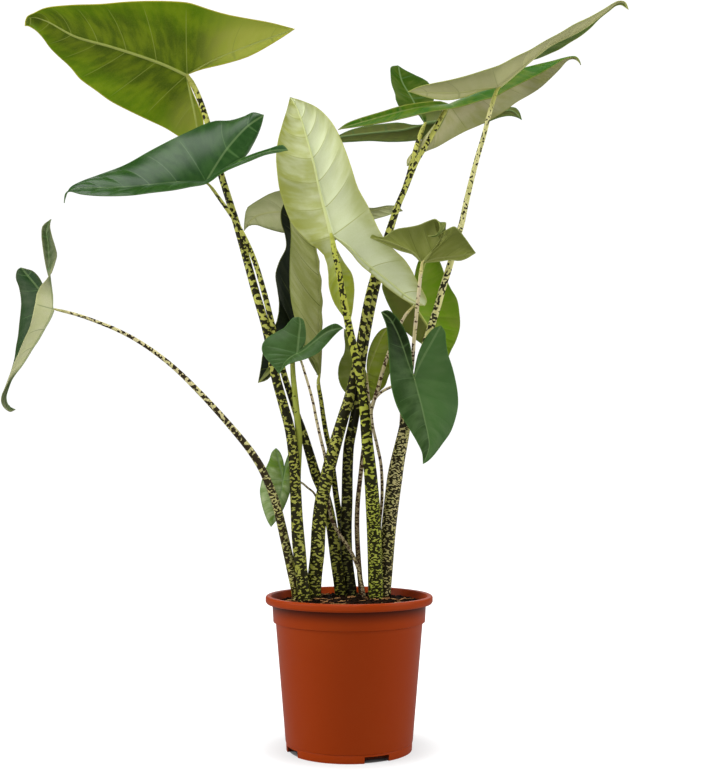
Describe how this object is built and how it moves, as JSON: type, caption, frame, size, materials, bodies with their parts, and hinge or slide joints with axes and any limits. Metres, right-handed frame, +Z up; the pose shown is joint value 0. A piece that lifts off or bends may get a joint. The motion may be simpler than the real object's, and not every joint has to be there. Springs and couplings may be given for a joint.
{
  "type": "potted plant",
  "caption": "Potted aroid with arrow-shaped leaves on long spotted stalks, in a round plastic nursery pot with a rolled rim and a notched foot ring.",
  "frame": {"origin": "centre of the flat pad in the middle of the pot's underside, on the plane that the pot stands on", "axes": "+Z up along the pot's axis, front towards -Y, +X to the right of the front view"},
  "size_m": [0.6971, 0.2205, 0.8665],
  "materials": {
    "pot": "moulded terracotta-coloured plastic, satin",
    "soil": "coarse dark potting mix",
    "corm": "fibrous brown skin",
    "petiole_zebra": "yellow-green with near-black blotches and bands, satin",
    "petiole_rosy": "pinkish cream with fine brown dots, satin",
    "petiole_smooth": "plain yellow-green, satin",
    "blade_dark": "dark green, pale veins, satin sheen",
    "blade_backlit": "bright yellow-green lit from behind, pale veins",
    "blade_pale": "pale grey-green underside, raised veins"
  },
  "bodies": {
    "root": {"pot": "pot", "soil": "soil", "corm_left": "corm", "corm_middle": "corm", "corm_right": "corm", "petiole_high_left": "petiole_zebra", "blade_high_left": "blade_backlit", "petiole_dark_left": "petiole_zebra", "blade_dark_left": "blade_dark", "petiole_far_left": "petiole_zebra", "blade_far_left": "blade_dark", "petiole_centre": "petiole_zebra", "blade_centre": "blade_pale", "petiole_behind_centre": "petiole_smooth", "blade_behind_centre": "blade_pale", "petiole_unfurling": "petiole_zebra", "blade_unfurling": "blade_pale", "petiole_small_front_left": "petiole_rosy", "blade_small_front_left": "blade_dark", "petiole_back_right": "petiole_zebra", "blade_back_right": "blade_dark", "petiole_upper_right": "petiole_zebra", "blade_upper_right": "blade_dark", "petiole_top_right": "petiole_zebra", "blade_top_right": "blade_pale", "petiole_hanging_front": "petiole_rosy", "blade_hanging_front": "blade_dark", "petiole_small_right": "petiole_rosy", "blade_small_right": "blade_pale", "petiole_behind_middle": "petiole_rosy", "blade_behind_middle": "blade_pale", "petiole_behind_right": "petiole_rosy", "blade_behind_right": "blade_backlit", "petiole_small_low_left": "petiole_rosy", "blade_small_low_left": "blade_dark"}
  },
  "joints": []
}
